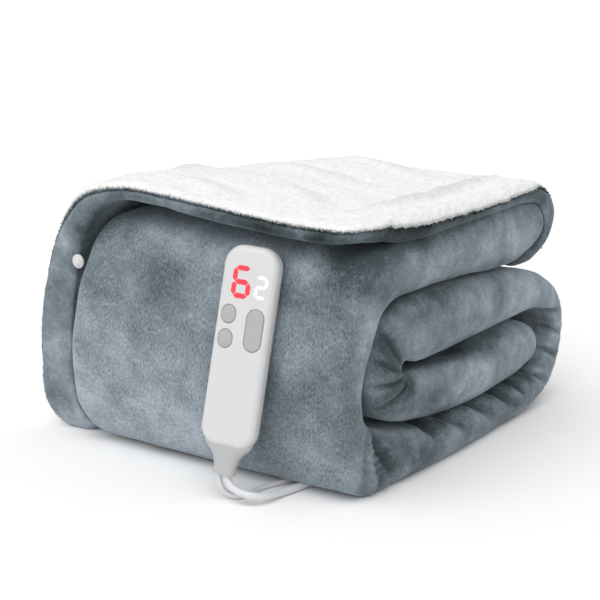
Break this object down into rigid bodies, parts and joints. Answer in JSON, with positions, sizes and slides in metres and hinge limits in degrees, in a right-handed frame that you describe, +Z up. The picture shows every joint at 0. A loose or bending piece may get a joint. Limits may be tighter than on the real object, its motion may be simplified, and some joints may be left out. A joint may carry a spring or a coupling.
{
  "type": "electric heated blanket",
  "caption": "Heated throw blanket folded into a thick bundle, flannel outside and plush lining on top, with a hand controller, leads and a plug.",
  "frame": {"origin": "centre of the base of the bundle with its controller, on the surface it lies on, the leads behind it left out", "axes": "+X to the right of the front with the controller, +Y to the back, +Z up"},
  "size_m": [0.2968, 0.4014, 0.1955],
  "materials": {
    "flannel": "brushed blue-grey flannel",
    "plush": "white curly plush pile",
    "white_plastic": "satin white moulded case",
    "grey_button": "matt grey",
    "boot_grey": "soft matt grey strain relief",
    "cord_grey": "light grey cable sheath",
    "blade_metal": "nickel-plated"
  },
  "bodies": {
    "blanket": {"flannel_cloth": "flannel", "sherpa_lining": "plush", "snap_button": "white_plastic", "controller_front": "white_plastic", "controller_back": "white_plastic", "cord_boot": "boot_grey", "mains_cord": "cord_grey", "mains_coil": "cord_grey", "mains_tail": "cord_grey", "blanket_lead": "cord_grey", "lead_inlet": "boot_grey", "plug_body": "cord_grey", "plug_blade_left": "blade_metal", "plug_blade_right": "blade_metal"},
    "power_button": {"button_power": "grey_button"},
    "timer_button": {"button_timer": "grey_button"},
    "rocker_button": {"button_rocker": "grey_button"}
  },
  "joints": [
    {"name": "power_press", "type": "slide", "parent": "blanket", "child": "power_button", "axis": [-0.1692, 0.9596, -0.2249], "range_m": [0, 0.0006], "stiffness_N_per_m": 1500},
    {"name": "timer_press", "type": "slide", "parent": "blanket", "child": "timer_button", "axis": [-0.1692, 0.9596, -0.2249], "range_m": [0, 0.0006], "stiffness_N_per_m": 1500},
    {"name": "rocker_tilt", "type": "hinge", "parent": "blanket", "child": "rocker_button", "pos_m": [0.07195, -0.14227, 0.11215], "axis": [0.9854, 0.1606, -0.0561], "range_deg": [-2.5, 2.5], "stiffness_Nm_per_rad": 0.17}
  ]
}
